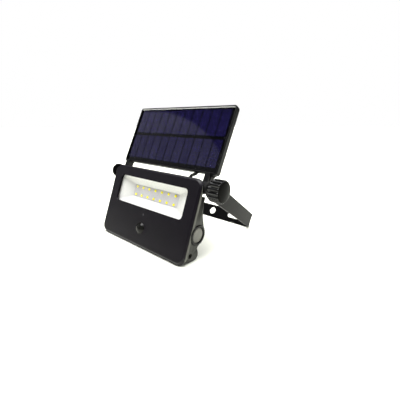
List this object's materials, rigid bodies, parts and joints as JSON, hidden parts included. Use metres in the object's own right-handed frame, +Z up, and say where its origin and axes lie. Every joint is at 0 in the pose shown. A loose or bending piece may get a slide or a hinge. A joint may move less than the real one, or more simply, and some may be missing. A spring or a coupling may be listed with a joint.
{
  "type": "solar flood light",
  "caption": "Motion-sensor flood light with an LED window, a tilting solar panel and a U-shaped mounting bracket clamped by a side knob, standing on its bracket.",
  "frame": {"origin": "middle of the light's bounding box, on the surface it stands on", "axes": "+X to the viewer's right, along the hinge axis towards the clamp knob; +Y back, from the lamp towards the bracket's cross bar; +Z up"},
  "size_m": [0.221, 0.1738, 0.1939],
  "materials": {
    "bezel_plastic": "black ABS, fine satin grain",
    "housing_plastic": "dark grey-black ABS, satin",
    "seal_rubber": "matt black rubber",
    "window_glass": "clear tempered glass",
    "reflector_white": "white, slightly glossy",
    "led_board_white": "white solder mask with a cool tint",
    "led_package": "white plastic",
    "led_phosphor": "yellow phosphor under clear silicone",
    "smoked_lens": "smoked, glossy",
    "sensor_can": "nickel-plated",
    "indicator_lens": "dark tinted",
    "circuit_board": "green solder mask",
    "cell_wrap": "blue heat-shrink sleeve round a steel can",
    "holder_plastic": "black moulded",
    "contact_brass": "plain",
    "ring_plastic": "black, glossy",
    "button_silicone": "translucent grey silicone",
    "socket_plastic": "black",
    "screw_steel": "zinc-plated",
    "bolt_black": "black oxide",
    "lead_sheath": "black PVC sheath",
    "panel_plastic": "black ABS, satin",
    "panel_glass": "clear cover, glossy",
    "solar_cell": "dark blue-violet monocrystalline silicon",
    "backsheet_black": "black",
    "bracket_paint": "dark grey powder coat",
    "knob_gloss": "black, glossy",
    "knob_satin": "satin dark grey"
  },
  "bodies": {
    "lamp": {"front_bezel": "bezel_plastic", "rear_housing": "housing_plastic", "housing_gasket": "seal_rubber", "window_glass": "window_glass", "reflector": "reflector_white", "led_board": "led_board_white", "led_packages": "led_package", "led_phosphors": "led_phosphor", "pir_lens": "smoked_lens", "pir_sensor": "sensor_can", "indicator_light": "indicator_lens", "control_board": "circuit_board", "battery_cells": "cell_wrap", "battery_holder": "holder_plastic", "battery_contacts": "contact_brass", "tact_switch": "holder_plastic", "button_ring": "ring_plastic", "charge_socket": "socket_plastic", "socket_pin": "contact_brass", "housing_screws": "screw_steel", "pivot_inserts": "contact_brass", "pivot_bolt": "bolt_black", "lamp_gland": "seal_rubber", "panel_lead": "lead_sheath"},
    "panel": {"panel_frame": "panel_plastic", "panel_glass": "panel_glass", "solar_cells": "solar_cell", "cell_backsheet": "backsheet_black", "panel_back_cover": "panel_plastic", "panel_screws": "screw_steel", "panel_gland": "seal_rubber", "pivot_spacers": "seal_rubber"},
    "bracket": {"mounting_bracket": "bracket_paint"},
    "knob": {"clamp_knob": "knob_gloss", "knob_cap": "knob_satin", "knob_washer": "ring_plastic", "knob_stud": "screw_steel"},
    "button": {"push_button": "button_silicone"}
  },
  "joints": [
    {"name": "panel_tilt", "type": "hinge", "parent": "lamp", "child": "panel", "pos_m": [-0.00915, -0.03805, 0.09281], "axis": [-1, 0, 0], "range_deg": [-12, 94], "deforming": ["panel_lead"]},
    {"name": "bracket_swing", "type": "hinge", "parent": "lamp", "child": "bracket", "pos_m": [-0.00915, -0.03805, 0.09281], "axis": [-1, 0, 0], "range_deg": [-90, 77]},
    {"name": "knob_turn", "type": "hinge", "parent": "lamp", "child": "knob", "pos_m": [-0.00915, -0.03805, 0.09281], "axis": [1, 0, 0], "range_deg": [0, 360]},
    {"name": "button_press", "type": "slide", "parent": "lamp", "child": "button", "axis": [-1, 0, 0], "range_m": [0, 0.0015], "stiffness_N_per_m": 600}
  ]
}
